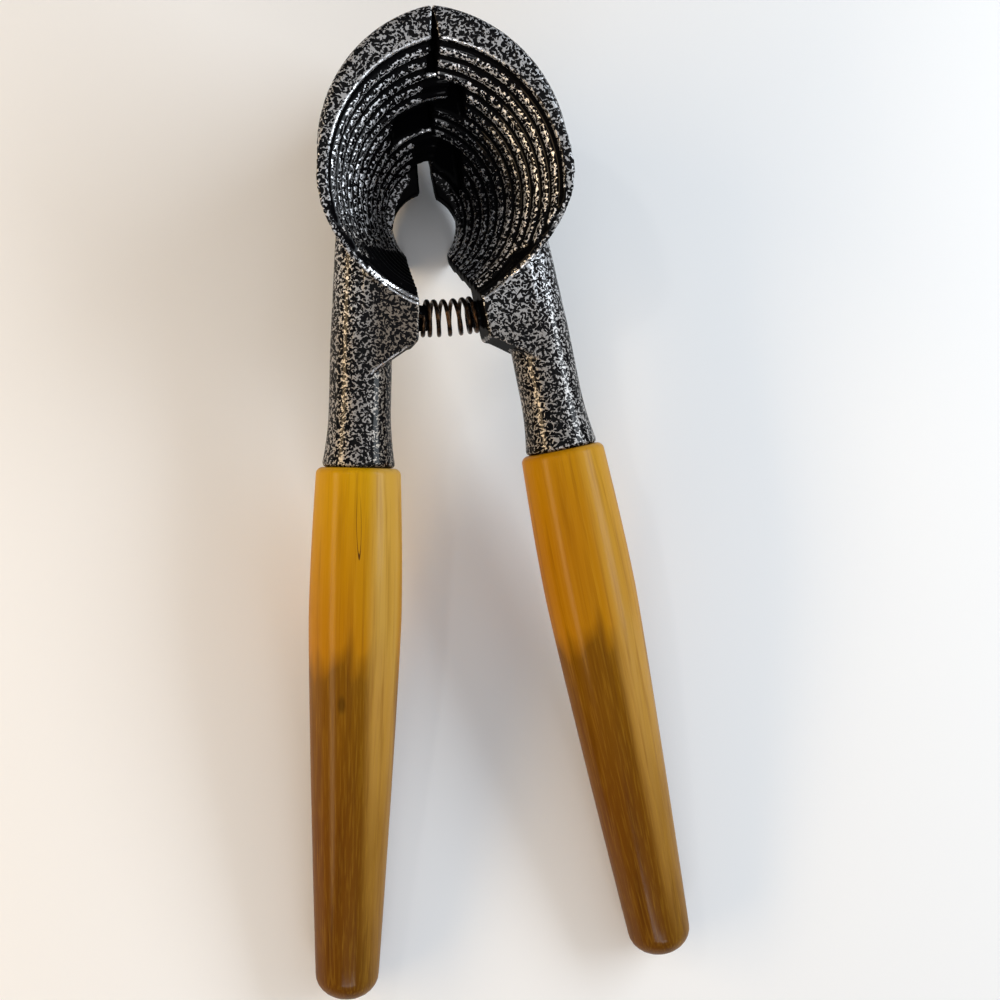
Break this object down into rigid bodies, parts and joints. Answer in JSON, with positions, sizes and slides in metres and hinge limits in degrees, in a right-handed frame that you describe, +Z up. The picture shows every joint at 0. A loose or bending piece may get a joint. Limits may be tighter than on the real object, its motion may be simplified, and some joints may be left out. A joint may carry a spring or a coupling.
{
  "type": "nutcracker",
  "caption": "Hand-held nutcracker with a split funnel cup ribbed inside, hinged cast arms pushed apart by a small spring, and turned wooden handles.",
  "frame": {"origin": "middle of the bounding box's bottom face, on the table that the tool lies on", "axes": "+X across, from the left jaw to the right jaw; +Y along the tool, from the handle ends to the hinge; +Z up from the table, through the open cup"},
  "size_m": [0.0876, 0.2178, 0.0561],
  "materials": {
    "hammered_enamel": "glossy black enamel with a fine silver hammered speckle",
    "varnished_wood": "glossy amber varnish, darker towards the ends",
    "spring_steel": "dark, worn spring steel",
    "pin_steel": "plain steel"
  },
  "bodies": {
    "left_half": {"left_jaw": "hammered_enamel", "hinge_pin": "pin_steel", "return_spring": "spring_steel", "left_tang": "pin_steel", "left_handle": "varnished_wood"},
    "right_half": {"right_jaw": "hammered_enamel", "right_tang": "pin_steel", "right_handle": "varnished_wood"}
  },
  "joints": [
    {"name": "squeeze", "type": "hinge", "parent": "left_half", "child": "right_half", "pos_m": [0, 0.09817, 0.05582], "axis": [0, 0.1447, -0.9895], "range_deg": [0, 8], "stiffness_Nm_per_rad": 10, "springref_deg": -1.15, "deforming": ["return_spring"]}
  ]
}
